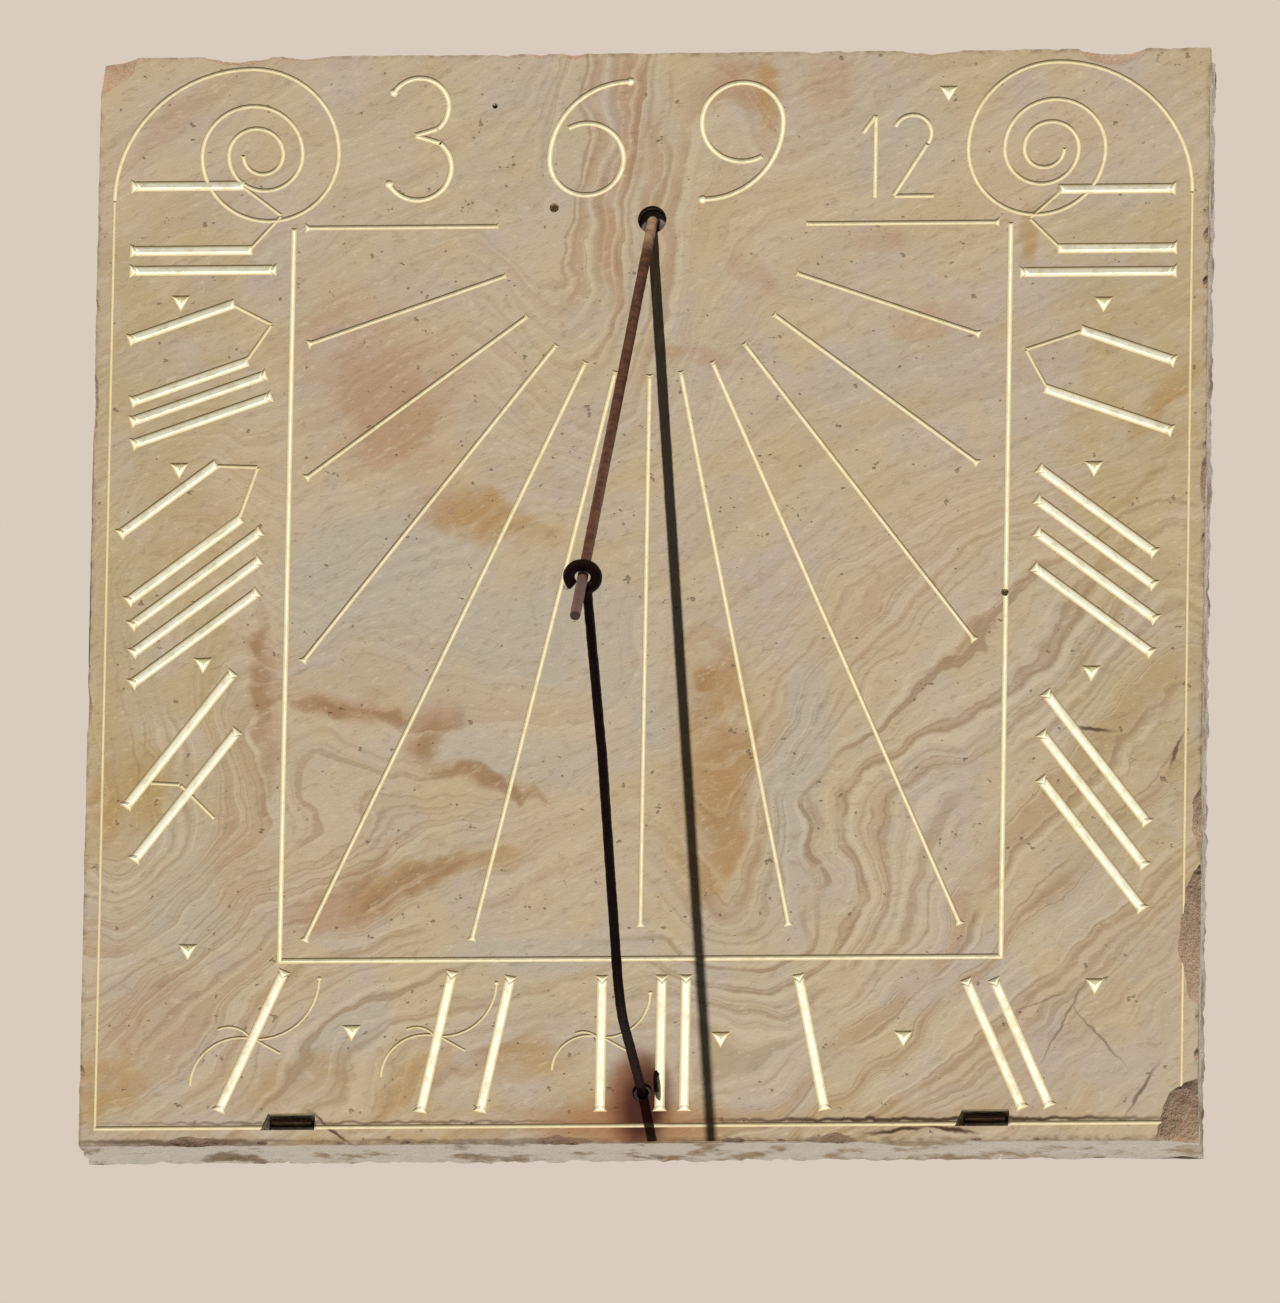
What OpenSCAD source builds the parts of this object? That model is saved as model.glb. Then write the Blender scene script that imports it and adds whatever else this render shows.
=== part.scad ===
// Direct south wall sundial: a sandstone slab with V-cut hour lines, numerals and volutes,
// a round iron rod that casts the shadow, and a hand-bent iron strut whose eye loops the rod.
// The origin is the centre of the slab's flat back. The dial faces -Y, +Z is up.

/* [Slab] */
// Width of the stone
slab_w = 600; // [570:1:700]
// Height of the stone
slab_h = 602; // [585:1:700]
// Thickness of the stone, front to back
slab_t = 50; // [46:1:80]
// Drop from the top edge to the point where the hour lines meet
centre_drop = 96; // [94:1:110]

/* [Hour lines] */
// Latitude that the dial is laid out for, in degrees
latitude = 40; // [34:0.5:46]
// Width of an hour line
hour_line_w = 2.8; // [1.6:0.1:4]
// Radius round the line centre that the hour lines keep clear of
hour_line_start = 84; // [70:1:110]
// Usual distance from an hour line's outer end to the frame line
hour_line_gap = 13; // [9:1:20]
// Depth of every V cut, as a share of its width
cut_depth = 0.45; // [0.3:0.01:0.6]

/* [Frame and border] */
// Distance of each upright frame line from the dial's middle
frame_x = 193.5; // [185:0.5:200]
// Drop from the line centre to the lower frame line
frame_drop = 405.5; // [385:0.5:415]
// Width of the frame lines
frame_line_w = 3.2; // [2:0.1:5]
// Distance of the border line from the slab's edge
border_inset = 9; // [7:0.5:11]
// Width of the border line
border_line_w = 1.8; // [1:0.1:3]
// Width of the border line along the bottom
bottom_line_w = 2.6; // [1.6:0.1:4]

/* [Numerals] */
// Width of a thick stroke
thick_w = 5.8; // [3:0.1:7]
// Width of a thin stroke
thin_w = 2.3; // [1.4:0.1:3.5]
// Width of the ogee that crosses a numeral
ogee_w = 1.8; // [1.2:0.1:3]
// Distance that the numerals keep from the lines on both sides
numeral_gap = 11; // [8:0.5:14]
// Width of the figures in the top row
figure_w = 3.2; // [2:0.1:5]
// Radius of a separator nick
nick_r = 6.1; // [3:0.1:7]

/* [Volutes] */
// Height above the line centre at which a volute leaves the border line
volute_rise = 16; // [10:1:24]
// Radius of a volute's first quarter turn
volute_first_r = 73; // [66:1:74]
// Radius of a volute's second quarter turn
volute_second_r = 48; // [42:1:52]
// Radius of a volute's first half turn
coil_r = 37; // [32:1:40]
// Each half turn's radius as a share of the one before it
coil_ratio = 0.735; // [0.68:0.005:0.77]
// Number of half turns in a volute
coil_turns = 5; // [3:1:6]
// Width of a volute's line
volute_w = 2.6; // [1.6:0.1:3.5]

/* [Gnomon rod] */
// Diameter of the round iron rod
rod_d = 6; // [5:0.1:7]
// Length of the rod from the face to its tip
rod_len = 483; // [455:1:520]
// Depth behind the face at which the rod turns square to it
rod_elbow_depth = 3.5; // [3:0.1:4]
// Diameter of the rod's socket in the stone
rod_socket_d = 15.4; // [15:0.1:18]
// Depth of the rod's socket
rod_socket_depth = 40; // [34:1:42]
// Depth of the lead's face below the dial's face in the rod's socket
rod_lead_recess = 7; // [6.5:0.1:9]

/* [Strut] */
// Diameter of the strut's iron bar
strut_d = 5.6; // [4.6:0.1:6]
// Distance along the rod from the face to the strut's eye
eye_along = 436; // [425:1:440]
// Diameter of the hole through the eye
eye_bore = 8; // [8:0.1:12]
// Straight length of the strut's top leg
top_leg_len = 98; // [85:1:110]
// Height of the foot above the slab's bottom edge
foot_rise = 27; // [24:1:30]
// Diameter of the foot's socket in the stone
foot_socket_d = 10.6; // [10:0.1:11.4]
// Depth of the foot's socket
foot_socket_depth = 38; // [32:1:42]
// Depth of the lead's face below the dial's face in the foot's socket
foot_lead_recess = 2; // [1:0.1:4]
// Diameter of the staple's wire
staple_d = 2.4; // [1.8:0.1:3]
// Distance between the staple's legs, centre to centre
staple_gap = 8.5; // [7:0.1:10]
// Depth that the staple is driven into the stone
staple_depth = 14; // [10:1:20]

/* [Wall cramps] */
// Distance of each cramp from the dial's middle
cramp_x = 186; // [150:1:200]
// Width of a cramp's flat bar
cramp_w = 22; // [16:1:26]
// Thickness of a top cramp's bar
cramp_t = 5; // [4:0.1:6]
// Length of a cramp's tail behind the slab
tail_len = 48; // [40:1:100]
// Length of a top cramp's leg, turned down into the stone
leg_len = 28; // [20:1:40]
// Thickness of a bottom cramp's bar
foot_cramp_t = 3.2; // [2.5:0.1:4]
// Height of a bottom cramp's slot
slot_h = 7.5; // [7:0.1:9]
// Height of the slot's floor above the slab's bottom edge
slot_rise = 8; // [7:0.5:12]
// Clearance between fitted pieces
fit = 0.15; // [0.1:0.01:0.3]

/* [Hidden] */
$fn = 64;
stone = [0.74, 0.66, 0.53];
iron = [0.17, 0.11, 0.09];
rusty = [0.36, 0.22, 0.16];
lead = [0.42, 0.42, 0.44];

// Heights on the face, measured from the line centre, and the line centre's own height
centre_z = slab_h / 2 - centre_drop;
bottom_drop = slab_h - centre_drop;
foot_drop = bottom_drop - foot_rise;
border_x = slab_w / 2 - border_inset;
border_drop = bottom_drop - border_inset;
column_in = frame_x + numeral_gap;
column_out = border_x - numeral_gap;
row_in = frame_drop + numeral_gap;
row_out = border_drop - numeral_gap;

// How far every cutter stands out of the face, so that no two faces fall together
lift = 1;

// Slope of the rod: it is parallel to the earth's axis
rod_out = cos(latitude);
rod_down = sin(latitude);
rod_rise = rod_elbow_depth * rod_down / rod_out;
tail_bend_r = 5;

// The strut's bends: sideways, down from the line centre, out from the face
foot_side = 2.6;
knee = [4.6, foot_drop - 11, 148];
hip_side = 2.4;
eye_at = [0, eye_along * rod_down, eye_along * rod_out];
eye_bar_d = strut_d + 1;
eye_r = (eye_bore + eye_bar_d) / 2;
eye_start = 60;
eye_sweep = 285;
neck_r = 4;
strut_bend_rs = [14, 80, 60];

function unit(v) = v / norm(v);
// A point given as [side, drop below the line centre, distance out of the face]
function off_face(p) = [p[0], -slab_t - p[2], centre_z - p[1]];
// Angle of an hour's line from the noon line, where hour counts from noon
function hour_angle(hour) = abs(hour) == 6 ? sign(hour) * 90 : atan(sin(90 - latitude) * tan(15 * hour));
// The hand that cut it set the eleven and ten o'clock lines a little early
function cut_angle(hour) = hour_angle(hour) + (hour == -1 ? -1.3 : hour == -2 ? -0.7 : 0);

// Puts drawings in the dial's plane: x to the right, y up from the line centre, z out of the stone
module on_face() {
    translate([0, -slab_t, centre_z]) rotate([90, 0, 0]) children();
}

// The section of a V cut
module v_section(width) {
    deep = width * cut_depth;
    half = width / 2 * (1 + lift / deep);
    polygon([[-half, lift], [half, lift], [0, -deep]]);
}

// A straight V cut from a to b with sloped ends
module v_cut(a, b, width) {
    run = norm(b - a);
    deep = width * cut_depth + lift;
    slope = 0.5 / cut_depth;
    translate([a[0], a[1], 0]) rotate([0, 0, atan2(b[1] - a[1], b[0] - a[0])]) intersection() {
        translate([-lift * 4, 0, 0]) rotate([90, 0, 90]) linear_extrude(run + lift * 8) v_section(width);
        translate([0, width * 2, 0]) rotate([90, 0, 0]) linear_extrude(width * 4)
            polygon([[-lift * slope, lift], [run + lift * slope, lift],
                [run - deep * slope, -deep], [deep * slope, -deep]]);
    }
}

// A V cut that goes from point to point
module v_run(points, width) {
    for (i = [0 : len(points) - 2]) v_cut(points[i], points[i + 1], width);
}

// A curved V cut round a centre, from one angle to a larger one
module v_arc(centre, radius, from, to, width) {
    translate([centre[0], centre[1], 0]) rotate([0, 0, from])
        rotate_extrude(angle = to - from) translate([radius, 0]) v_section(width);
}

// The round end of a thin curve
module v_pit(at, width) {
    deep = width * cut_depth;
    translate([at[0], at[1], -deep])
        cylinder(h = deep + lift, r1 = 0, r2 = width / 2 * (1 + lift / deep), $fn = 24);
}

// A three-cornered pit, one corner of which points along pointing
module three_corners(at, pointing, r, deep) {
    translate([at[0], at[1], -deep]) rotate([0, 0, atan2(pointing[1], pointing[0])])
        cylinder(h = deep + lift, r1 = 0, r2 = r * (1 + lift / deep), $fn = 3);
}

// The flared end of a stroke, flat outwards, where span is the flare's breadth
module v_end(at, inward, span) {
    r = span / sqrt(3);
    three_corners(at, inward, r, r * cut_depth * 1.1);
}

// A chisel nick that points down
module nick(at) {
    three_corners(at, [0, -1], nick_r, nick_r * 0.6);
}

// Where an hour's line, moved by shift, crosses a given drop or a given distance to the side
function at_drop(hour, shift, drop) = [shift + drop * tan(hour_angle(hour)), -drop];
function at_side(hour, shift, side) =
    [sign(hour) * side, shift - side / tan(abs(hour_angle(hour)))];
// An hour line ends nearest to the frame at six o'clock and furthest from it on the right
function line_gap(hour) = hour_line_gap + (abs(hour) == 6 ? -5.5 : hour < 0 ? -3 : 4);
function ray_len(angle, side, drop) =
    min(abs(angle) < 1 ? drop : side / sin(abs(angle)), abs(angle) > 89 ? side : drop / cos(angle));

module hour_line(hour) {
    angle = cut_angle(hour);
    way = [sin(angle), -cos(angle)];
    start = hour_line_start * way;
    finish = ray_len(angle, frame_x - line_gap(hour), frame_drop - line_gap(hour) - 2) * way;
    v_cut(start, finish, hour_line_w);
    v_end(finish, -way, hour_line_w * 2.1);
    v_end(start, way, hour_line_w * 1.5);
}

// A thick stroke of a numeral beside the frame lies on its hour's line, moved up by bar[0] and
// cut short by bar[1] at its inner and bar[2] at its outer end; below the frame it moves sideways
module bar(hour, bar, free) {
    below = abs(hour) < 3;
    inner = below ? at_drop(hour, bar[0], row_in + bar[1]) : at_side(hour, bar[0], column_in + bar[1]);
    outer = below ? at_drop(hour, bar[0], row_out - bar[2]) : at_side(hour, bar[0], column_out - bar[2]);
    v_cut(inner, outer, thick_w);
    v_end(outer, inner - outer, thick_w * 1.45);
    if (free) v_end(inner, outer - inner, thick_w * 1.3);
}

// The strokes of one numeral, of which the first few are joined at their inner ends
module bars(hour, list, joined = 0) {
    for (i = [0 : len(list) - 1]) bar(hour, list[i], i >= joined);
}

// The thin foot of a V, which joins its first two bars at a point nearer the dial's middle
module v_foot(hour, list, tip) {
    point = at_side(hour, tip[0], column_in + tip[1]);
    for (item = [list[0], list[1]])
        v_cut(at_side(hour, item[0], column_in + item[1] + 2), point, thin_w);
}

// The thin ogee that crosses an X, with curls of a given radius
module ogee(at, radius) {
    v_arc(at + [2, radius - 1], radius, 270, 360, ogee_w);
    v_arc(at + [-7, -radius * 0.8], radius * 0.8, 90, 180, ogee_w);
    v_arc(at + [-radius * 0.4, -8], radius * 0.42, 25, 115, ogee_w);
    v_cut(at + [0, 0], at + [-8, 0], ogee_w);
    v_cut(at + [1, -1], at + [15, -9], ogee_w);
    v_pit(at + [2 + radius, radius - 1], ogee_w * 1.6);
}

module numerals() {
    six_left = [[24, 16, 0], [-12, 11, 0], [-23, 0, 0]];
    seven = [[37, 20, 0], [2, 12, 2], [-9, 4, 2], [-22, 1, 3]];
    eight = [[45, 28, -3], [4, 14, 2], [-11, 5, 4], [-27, 5, 5], [-44, 6, 5]];
    five = [[21, 27, -1], [-18, 8, 0]];
    six_right = [[18, 15, 0], [-15, 14, -1], [-28, -4, -1]];
    bars(-6, six_left, 2);
    v_foot(-6, six_left, [7, -4]);
    bars(-5, seven, 2);
    v_foot(-5, seven, [18, 0]);
    bars(-4, eight, 2);
    v_foot(-4, eight, [26, 6]);
    bars(-3, [[43, 18, 3], [7, 15, 8]]);
    v_run([[-265, -307], [-249, -308], [-230, -327]], thin_w);
    bars(-2, [[-9, -4, 0]]);
    ogee(at_drop(-2, -9, frame_drop + 42), 33);
    bars(-1, [[-16, -3, -1], [16, 0, -1]]);
    ogee(at_drop(-1, -16, frame_drop + 41), 29);
    bars(0, [[-20, 0, -1], [12, 0, -1], [25, 0, -1]]);
    ogee(at_drop(0, -20, frame_drop + 42), 24);
    bars(1, [[0, 0, -1]]);
    bars(2, [[-10, 3, -1], [5, 3, 0]]);
    bars(3, [[21, 12, 10], [-4, 10, 11], [-29, 10, 12]]);
    bars(4, [[22, 7, 8], [4, 6, 8], [-14, 6, 7], [-34, 5, 9]]);
    bars(5, five, 2);
    v_foot(5, five, [0, -2]);
    bars(6, six_right, 2);
    v_foot(6, six_right, [2, -1]);
}

// Plain figures in the top row: three, six, nine and, smaller, twelve
module figures() {
    three = [-127, 51];
    v_arc(three + [0, 16], 16, -50, 150, figure_w);
    v_arc(three + [0, -18], 18, -150, 50, figure_w);
    v_run([three + [16 * cos(50), 16 - 16 * sin(50)], three + [-2, 0],
        three + [18 * cos(50), -18 + 18 * sin(50)]], figure_w);
    v_pit(three + [16 * cos(150), 16 + 16 * sin(150)], figure_w * 1.5);
    v_pit(three + [18 * cos(150), -18 - 18 * sin(150)], figure_w * 1.5);
    six = [-36, 37];
    v_arc(six, 20, 180, 480, figure_w);
    v_arc(six + [23, 0], 43, 90, 180, figure_w);
    v_pit(six + [23, 43], figure_w * 1.5);
    nine = [48, 57];
    v_arc(nine, 22, 0, 300, figure_w);
    v_arc(nine + [-21, 0], 43, -90, 0, figure_w);
    v_pit(nine + [-21, -43], figure_w * 1.5);
    twelve = [120, 14];
    v_run([twelve + [-7, 36], twelve + [0, 46], twelve], thin_w + 0.4);
    v_arc(twelve + [20, 36], 10, -35, 160, thin_w + 0.4);
    v_run([twelve + [28, 30], twelve + [10, 1], twelve + [32, 1]], thin_w + 0.4);
}

// Centre of a volute's half turn, counted from nought
function coil_radius(turn) = coil_r * pow(coil_ratio, turn);
function coil_centre(turn) = turn == 0
    ? [-border_x + volute_first_r + volute_second_r - coil_r,
        volute_rise + volute_first_r - volute_second_r]
    : coil_centre(turn - 1)
        + (coil_radius(turn - 1) - coil_radius(turn)) * [turn % 2 == 1 ? -1 : 1, 0];

// The left volute grows out of the border line and winds in clockwise
module volute() {
    first = [-border_x + volute_first_r, volute_rise];
    second = first + [0, volute_first_r - volute_second_r];
    v_arc(first, volute_first_r, 90, 180, volute_w);
    v_arc(second, volute_second_r, 0, 90, volute_w);
    for (turn = [0 : coil_turns - 1])
        v_arc(coil_centre(turn), coil_radius(turn), turn % 2 == 0 ? 180 : 0,
            turn % 2 == 0 ? 360 : 180, volute_w);
}

module frame_and_border() {
    for (side = [-1, 1]) {
        v_cut([side * frame_x, 0], [side * frame_x, -frame_drop - 1], frame_line_w);
        v_cut([side * border_x, volute_rise], [side * border_x, -border_drop - 1], border_line_w);
    }
    v_cut([-frame_x - 1, -frame_drop], [frame_x + 1, -frame_drop], frame_line_w);
    v_cut([-border_x - 1, -border_drop], [border_x + 1, -border_drop], bottom_line_w);
}

module nicks() {
    at = [[-254, -40], [-253, -133], [-238, -241], [-243, -399], [-154, -444], [44, -449],
        [142, -449], [244, -421], [240, -249], [240, -136], [244, -45], [159, 73]];
    for (p = at) nick(p);
}

// Old setting-out holes and a natural pit: side, height and diameter
module small_holes() {
    for (p = [[-53, 10, 5], [193, -205, 4], [-86, 67, 3]])
        translate([p[0], p[1], -8]) cylinder(h = 8 + lift, d = p[2], $fn = 24);
}

// Spalled places on the arris: side, height from the slab's middle, ball radius, standing out
module spalls() {
    half_w = slab_w / 2;
    half_h = slab_h / 2;
    at = [[-half_w - 3, half_h + 4, 24, 10], [-half_w + 75, half_h + 36, 42, 14],
        [-half_w + 110, half_h + 30, 34, 12], [half_w - 53, half_h + 14, 23, 8],
        [half_w - 150, half_h + 40, 44, 14], [half_w + 81, -190, 120, 80],
        [half_w + 9, -half_h + 4, 40, 28], [half_w + 30, -126, 44, 29],
        [-half_w - 50, 110, 54, 18], [-half_w - 34, -60, 38, 14],
        [-half_w + 62, -half_h - 30, 34, 11], [-40, -half_h - 42, 46, 14],
        [half_w - 196, -half_h - 30, 34, 11], [half_w + 46, 60, 50, 17]];
    for (p = at) translate([p[0], -slab_t - p[3], p[1]]) sphere(r = p[2]);
}

// Socket drilled square to the face
module socket(side, height, d, depth) {
    translate([side, -slab_t - lift, height]) rotate([-90, 0, 0]) cylinder(h = depth + lift, d = d);
}

// Holes for the staple's two legs
module staple_holes() {
    for (end = [-1, 1])
        socket(staple_side(), staple_height() + end * staple_gap / 2, staple_d + 2 * fit, staple_depth + 1);
}

function staple_side() = foot_side + foot_socket_d / 2 + staple_d / 2 + 1;
function staple_height() = centre_z - foot_drop + 6;

// Notch and pocket for a top cramp, in the slab's top edge
leg_front = slab_t * 0.66;
pocket_side = cramp_w / 2 + 2;
notch_depth = cramp_t + 1;
pocket_depth = leg_len + notch_depth;

module top_cramp_room(side) {
    translate([side * cramp_x, 0, slab_h / 2]) {
        translate([-cramp_w / 2 - fit, -leg_front - 2, -notch_depth])
            cube([cramp_w + 2 * fit, leg_front + 2 + lift, notch_depth + lift]);
        translate([-pocket_side, -leg_front - 4, -pocket_depth])
            cube([2 * pocket_side, cramp_t + 8, pocket_depth + lift]);
    }
}

// Slot through the stone for a bottom cramp, with its flared mouth in the face
slot_floor = -slab_h / 2 + slot_rise;
mouth_depth = 8;

module bottom_cramp_room(side) {
    half = cramp_w / 2 + 1;
    translate([side * cramp_x, 0, slot_floor]) {
        translate([-half, -slab_t - lift, 0]) cube([2 * half, slab_t + 2 * lift, slot_h]);
        translate([0, -slab_t + mouth_depth, 0]) rotate([90, 0, 0]) linear_extrude(mouth_depth + lift)
            polygon([[-half - 4, -0.5], [half + 2, -0.5], [half + 1, slot_h + 1], [-half, slot_h + 1]]);
    }
}

module dial_slab() {
    color(stone) difference() {
        translate([-slab_w / 2, -slab_t, -slab_h / 2]) cube([slab_w, slab_t, slab_h]);
        on_face() {
            for (hour = [-6 : 6]) hour_line(hour);
            numerals();
            figures();
            frame_and_border();
            volute();
            mirror([1, 0, 0]) volute();
            nicks();
            small_holes();
        }
        spalls();
        socket(0, centre_z + rod_rise, rod_socket_d, rod_socket_depth);
        socket(foot_side, centre_z - foot_drop, foot_socket_d, foot_socket_depth);
        staple_holes();
        for (side = [-1, 1]) {
            top_cramp_room(side);
            bottom_cramp_room(side);
        }
    }
}

// A straight round bar from a to b
module bar_between(a, b, d) {
    u = unit(b - a);
    translate(a) rotate([0, acos(u[2]), atan2(u[1], u[0])]) cylinder(h = norm(b - a), d = d);
}

// Angle by which a bar turns at the middle one of three points
function turn_at(a, b, c) = acos(unit(b - a) * unit(c - b));
function setback(a, b, c, r) = r * tan(turn_at(a, b, c) / 2);

// A hammered bend is a little thicker than its bar, and the bar runs this far into it
swell = 0.12;
bite = 0.3;

// The curved piece of bar at the middle one of three points
module bend(a, b, c, r, d) {
    u = unit(b - a);
    v = unit(c - b);
    inward = unit(v - (v * u) * u);
    middle = b - u * setback(a, b, c, r) + inward * r;
    x = -inward;
    z = cross(x, u);
    multmatrix([[x[0], u[0], z[0], middle[0]], [x[1], u[1], z[1], middle[1]],
            [x[2], u[2], z[2], middle[2]], [0, 0, 0, 1]])
        rotate_extrude(angle = turn_at(a, b, c)) translate([r, 0]) circle(d = d + swell, $fn = 32);
}

// A round bar through a list of points, bent at each inner one with a radius of its own
module bent_bar(points, d, radii) {
    last = len(points) - 1;
    for (i = [0 : last - 1]) {
        a = points[i];
        b = points[i + 1];
        from = i == 0 ? 0 : setback(points[i - 1], a, b, radii[i - 1]) - bite;
        to = i == last - 1 ? 0 : setback(a, b, points[i + 2], radii[i]) - bite;
        bar_between(a + from * unit(b - a), b - to * unit(b - a), d);
    }
    for (i = [1 : last - 1]) bend(points[i - 1], points[i], points[i + 1], radii[i - 1], d);
}

rod_tail_len = rod_socket_depth - 4;
rod_points = [off_face([0, -rod_rise, -rod_tail_len]), off_face([0, -rod_rise, -rod_elbow_depth]),
    off_face([0, rod_len * rod_down, rod_len * rod_out])];

module gnomon_rod() {
    color(rusty) bent_bar(rod_points, rod_d, [tail_bend_r]);
}

// Lead poured round an iron tail in a socket
module lead_fill(side, height, socket_d, depth, recess, iron_d, tail_len) {
    translate([side, -slab_t, height]) rotate([-90, 0, 0]) difference() {
        translate([0, 0, recess]) cylinder(h = depth - recess - fit, d = socket_d - 2 * fit);
        translate([0, 0, recess - lift]) cylinder(h = tail_len - recess + lift + fit, d = iron_d + 2 * fit);
    }
}

module gnomon_lead() {
    color(lead) lead_fill(0, centre_z + rod_rise, rod_socket_d, rod_socket_depth, rod_lead_recess,
        rod_d, rod_tail_len);
}

// The top leg's direction, the side direction square to it in the eye's plane, and the leg's ends
leg_up = unit(off_face(eye_at) - off_face([hip_side, eye_at[1] + 72, eye_at[2] - 70]));
eye_side = unit([1, 0, 0] - leg_up[0] * leg_up);
eye_centre = off_face(eye_at);
neck_side = eye_r * cos(eye_start) - neck_r * (1 - cos(eye_start));
neck_back = eye_r * sin(eye_start) + neck_r * sin(eye_start);
leg_end = eye_centre + eye_side * neck_side - leg_up * neck_back;
leg_root = leg_end - leg_up * top_leg_len;
foot_tail_len = foot_socket_depth - 3;
strut_points = [off_face([foot_side, foot_drop, -foot_tail_len]), off_face([foot_side, foot_drop, 1]),
    off_face(knee), leg_root, leg_end + leg_up * bite];

// The eye and its neck: the bar swings out to the right, then round the rod, and stays open
module eye() {
    z = cross(eye_side, leg_up);
    multmatrix([[eye_side[0], leg_up[0], z[0], eye_centre[0]],
            [eye_side[1], leg_up[1], z[1], eye_centre[1]],
            [eye_side[2], leg_up[2], z[2], eye_centre[2]], [0, 0, 0, 1]]) {
        rotate([0, 0, -eye_start - 4]) rotate_extrude(angle = eye_sweep)
            translate([eye_r, 0]) circle(d = eye_bar_d, $fn = 32);
        translate([neck_side + neck_r, -neck_back, 0]) rotate([0, 0, 180 - eye_start])
            rotate_extrude(angle = eye_start) translate([neck_r, 0]) circle(d = strut_d + swell, $fn = 32);
    }
}

module strut_bar() {
    color(iron) {
        bent_bar(strut_points, strut_d, strut_bend_rs);
        eye();
    }
}

module strut_lead() {
    color(lead) lead_fill(foot_side, centre_z - foot_drop, foot_socket_d, foot_socket_depth,
        foot_lead_recess, strut_d, foot_tail_len);
}

// A small staple driven in beside the foot to hold it while the lead is poured
module strut_staple() {
    stand_out = 3;
    color(iron) translate([staple_side(), -slab_t, staple_height()]) {
        for (end = [-1, 1]) translate([0, -stand_out, end * staple_gap / 2]) rotate([-90, 0, 0])
            cylinder(h = staple_depth + stand_out, d = staple_d, $fn = 24);
        translate([0, -stand_out, 0]) rotate([0, -90, 180]) rotate_extrude(angle = 180)
            translate([staple_gap / 2, 0]) circle(d = staple_d, $fn = 24);
    }
}

// Outline of a cramp's tail from above, nicked along both sides so that the mortar grips it
module tail_outline(front) {
    half = cramp_w / 2;
    nick_depth = 2.5;
    pitch = 14;
    count = floor(tail_len / pitch);
    side = [for (i = [1 : count]) each [[half, i * pitch - 5], [half - nick_depth, i * pitch - 5],
        [half, i * pitch]]];
    back = [for (i = [len(side) - 1 : -1 : 0]) [-side[i][0], side[i][1]]];
    difference() {
        polygon(concat([[-half, -front], [half, -front]], side, [[half, tail_len], [-half, tail_len]], back));
        translate([-1, tail_len - 22]) square([2, 24]);
    }
}

module top_cramp(side) {
    color(iron) translate([side * cramp_x, 0, slab_h / 2]) {
        translate([0, 0, -notch_depth + fit]) linear_extrude(cramp_t) tail_outline(leg_front);
        translate([-cramp_w / 2, -leg_front, -pocket_depth + 1])
            cube([cramp_w, cramp_t, pocket_depth - notch_depth]);
    }
}

module bottom_cramp(side) {
    color(iron) translate([side * cramp_x, 0, slot_floor + slot_h - foot_cramp_t - fit])
        linear_extrude(foot_cramp_t) tail_outline(slab_t - 5);
}

// Lead round a top cramp's leg, up to the floor of the notch
module top_lead(side) {
    color(lead) translate([side * cramp_x, 0, slab_h / 2]) difference() {
        translate([-pocket_side + fit, -leg_front - 4 + fit, -pocket_depth + fit])
            cube([2 * pocket_side - 2 * fit, cramp_t + 8 - 2 * fit, pocket_depth - notch_depth - fit]);
        translate([-cramp_w / 2 - fit, -leg_front - fit, -pocket_depth + 1 - fit])
            cube([cramp_w + 2 * fit, cramp_t + 2 * fit, pocket_depth]);
    }
}

// Lead under a bottom cramp's bar
module bottom_lead(side) {
    half = cramp_w / 2 + 1 - fit;
    front = slab_t - mouth_depth - 1;
    color(lead) translate([side * cramp_x - half, -front, slot_floor + fit])
        cube([2 * half, front, slot_h - foot_cramp_t - 3 * fit]);
}

module top_cramp_left() { top_cramp(-1); }
module top_cramp_right() { top_cramp(1); }
module bottom_cramp_left() { bottom_cramp(-1); }
module bottom_cramp_right() { bottom_cramp(1); }
module top_lead_left() { top_lead(-1); }
module top_lead_right() { top_lead(1); }
module bottom_lead_left() { bottom_lead(-1); }
module bottom_lead_right() { bottom_lead(1); }

dial_slab();
gnomon_rod();
gnomon_lead();
strut_bar();
strut_lead();
strut_staple();
top_cramp_left();
top_cramp_right();
bottom_cramp_left();
bottom_cramp_right();
top_lead_left();
top_lead_right();
bottom_lead_left();
bottom_lead_right();
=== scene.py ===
import math
import random

import bmesh
import bpy
from mathutils import Matrix, Vector, noise


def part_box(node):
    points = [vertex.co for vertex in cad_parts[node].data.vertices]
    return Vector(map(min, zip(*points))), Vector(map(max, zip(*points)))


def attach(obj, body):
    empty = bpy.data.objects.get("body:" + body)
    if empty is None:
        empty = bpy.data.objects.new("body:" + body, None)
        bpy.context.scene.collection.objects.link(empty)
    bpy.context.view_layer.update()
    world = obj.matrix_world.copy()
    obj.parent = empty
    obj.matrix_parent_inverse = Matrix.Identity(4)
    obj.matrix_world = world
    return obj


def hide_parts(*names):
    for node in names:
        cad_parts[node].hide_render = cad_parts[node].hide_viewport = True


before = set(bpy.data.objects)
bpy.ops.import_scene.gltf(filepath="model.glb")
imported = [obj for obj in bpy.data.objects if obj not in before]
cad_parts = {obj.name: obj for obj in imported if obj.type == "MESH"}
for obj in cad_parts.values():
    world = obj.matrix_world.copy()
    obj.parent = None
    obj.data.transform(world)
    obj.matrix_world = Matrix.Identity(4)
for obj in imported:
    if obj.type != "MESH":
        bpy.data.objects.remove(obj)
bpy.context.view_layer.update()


# The dial stone: one slab of banded sandstone, rubbed flat in front and left rough from the pick
# on its edges and back. The lines, numerals and volutes are cut with a V chisel and show paler
# stone. Pieces of the front edge have broken away where frost and the fixing irons worked on it.
mm = 0.001
slab_low, slab_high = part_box("dial_slab")
half_w = slab_high.x
half_h = slab_high.z
face_y = slab_low.y

# Spacing of the points that the pick's work moves
edge_step = 2.5 * mm
back_step = 8 * mm
front_band = 3 * mm
front_step = 1.5 * mm
side_step = 5 * mm

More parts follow.
